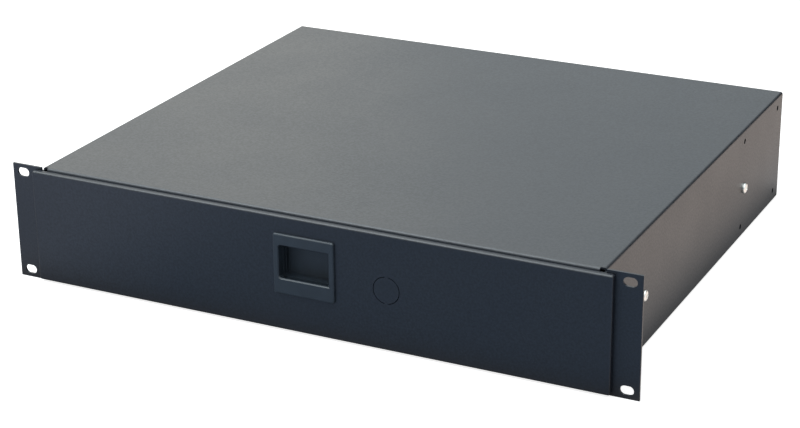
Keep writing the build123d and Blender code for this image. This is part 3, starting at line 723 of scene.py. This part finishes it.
def white_world(stage):
    """Even white light around, plain white to the camera, with a painted dark flag and a painted bright
    ceiling that only gloss shows.
    """
    world = bpy.data.worlds.new("even_white_studio")
    world.use_nodes = True
    tree = world.node_tree
    tree.nodes.clear()
    path = add_node(tree, "ShaderNodeLightPath")
    camera_ray, glossy_ray = path.outputs["Is Camera Ray"], path.outputs["Is Glossy Ray"]
    direction = add_node(tree, "ShaderNodeTexCoord").outputs["Generated"]
    # Painted reflection: a dark flag that only gloss sees draws the dark line along the right top bend
    towards_painted_flag = add_node(
        tree, "ShaderNodeVectorMath", {"operation": "DOT_PRODUCT", 0: direction, 1: PAINTED_FLAG_DIRECTION}
    )
    flag = add_ramp(tree, towards_painted_flag.outputs["Value"], PAINTED_FLAG_EDGE, (1.0, stage.painted_flag_shade))
    # Painted highlight: a brighter ceiling that only gloss sees lights the bend along the front of the top
    split = add_node(tree, "ShaderNodeSeparateXYZ", {"Vector": direction})
    ceiling = add_ramp(tree, split.outputs[2], CEILING_HIGHLIGHT_EDGE, (0.0, stage.ceiling_highlight_gain))
    in_gloss = add_maths(tree, "MULTIPLY", add_maths(tree, "ADD", flag, ceiling), glossy_ray)
    # Painted reflection: in gloss the sky takes the sky tint, the painted flag and the painted ceiling
    backdrop = add_node(
        tree,
        "ShaderNodeBackground",
        {
            "Color": add_mix(tree, camera_ray, solid_colour(stage.sky_reflection_tint), WHITE),
            "Strength": add_maths(tree, "MAXIMUM", in_gloss, camera_ray),
        },
    )
    sky = add_node(tree, "ShaderNodeBackground", {"Strength": stage.world_strength})
    seen = add_maths(tree, "MAXIMUM", camera_ray, glossy_ray)
    mix = add_node(tree, "ShaderNodeMixShader", {0: seen, 1: sky.outputs[0], 2: backdrop.outputs[0]})
    add_node(tree, "ShaderNodeOutputWorld", {"Surface": mix.outputs[0]})
    return world


def add_softbox(name, power):
    """A large square lamp that faces the part."""
    softbox = SOFTBOXES[name]
    bpy.ops.object.light_add(type="AREA", location=softbox["position"])
    lamp = bpy.context.object
    lamp.name = name
    lamp.data.shape = "RECTANGLE"
    lamp.data.size, lamp.data.size_y = softbox["size"]
    lamp.data.color = softbox["colour"]
    lamp.data.energy = power
    aim = Vector(LIT_POINT) - Vector(softbox["position"])
    lamp.rotation_euler = aim.to_track_quat("-Z", "Y").to_euler()


def add_camera(stage):
    """The camera of the product picture."""
    across = cos(stage.elevation)
    back = Vector((sin(stage.azimuth) * across, -cos(stage.azimuth) * across, sin(stage.elevation)))
    bpy.ops.object.camera_add(location=LOOK_AT + back * stage.distance)
    camera = bpy.context.object
    camera.name = "product_camera"
    camera.data.lens = stage.lens
    camera.data.sensor_width = SENSOR_WIDTH
    camera.data.clip_end = CLIP_END
    turn = back.to_track_quat("Z", "Y").to_matrix().to_4x4() @ Matrix.Rotation(stage.roll, 4, "Z")
    camera.rotation_euler = turn.to_euler()
    return camera


class STAGE_OT_set(Operator):
    """Set the white floor, the soft lights, the camera and the background"""

    bl_idname = "rack_drawer.set_stage"
    bl_label = "Set Stage"

    def execute(self, context):
        stage = context.scene.drawer_stage
        bpy.ops.object.select_all(action="DESELECT")
        bpy.ops.mesh.primitive_plane_add(size=stage.floor_size, location=(0, 0, floor_height - FLOOR_GAP))
        floor = context.object
        floor.name = "studio_floor"
        bpy.ops.object.transform_apply(location=True, rotation=True, scale=True)
        floor.data.materials.append(white_floor(stage))

        add_softbox("overhead_softbox", stage.key_power)
        add_softbox("rear_softbox", stage.rear_power)
        context.scene.world = white_world(stage)
        context.scene.camera = add_camera(stage)
        context.scene.view_settings.view_transform = "Standard"
        return {"FINISHED"}


class DRAWER_PT_panel(Panel):
    """Finishes and stage of the rack drawer"""

    bl_idname = "DRAWER_PT_panel"
    bl_label = "Rack Drawer"
    bl_space_type = "VIEW_3D"
    bl_region_type = "UI"
    bl_category = "Rack Drawer"

    def draw(self, context):
        scene = context.scene
        for group in (scene.drawer_finish, scene.drawer_hardware, scene.drawer_stage):
            for key in group.__annotations__:
                self.layout.prop(group, key)
        for step in STEPS:
            self.layout.operator(step.bl_idname)


STEPS = (
    COAT_OT_sheet_metal,
    PLATE_OT_slides,
    FASTEN_OT_slides,
    ROLL_OT_balls,
    MOULD_OT_latch,
    PAD_OT_front,
    STAGE_OT_set,
)
CLASSES = (FinishSettings, HardwareSettings, StageSettings, *STEPS, DRAWER_PT_panel)


def register():
    """Register the classes and attach their settings to the scene."""
    for cls in CLASSES:
        bpy.utils.register_class(cls)
    bpy.types.Scene.drawer_finish = PointerProperty(type=FinishSettings)
    bpy.types.Scene.drawer_hardware = PointerProperty(type=HardwareSettings)
    bpy.types.Scene.drawer_stage = PointerProperty(type=StageSettings)


def unregister():
    """Remove the settings and the classes."""
    del bpy.types.Scene.drawer_stage
    del bpy.types.Scene.drawer_hardware
    del bpy.types.Scene.drawer_finish
    for cls in reversed(CLASSES):
        bpy.utils.unregister_class(cls)


def main():
    register()
    bpy.ops.rack_drawer.coat_sheet_metal()
    bpy.ops.rack_drawer.plate_slides()
    bpy.ops.rack_drawer.fasten_slides()
    bpy.ops.rack_drawer.roll_balls()
    bpy.ops.rack_drawer.mould_latch()
    bpy.ops.rack_drawer.pad_front()
    bpy.ops.rack_drawer.set_stage()


if __name__ == "__main__":
    main()
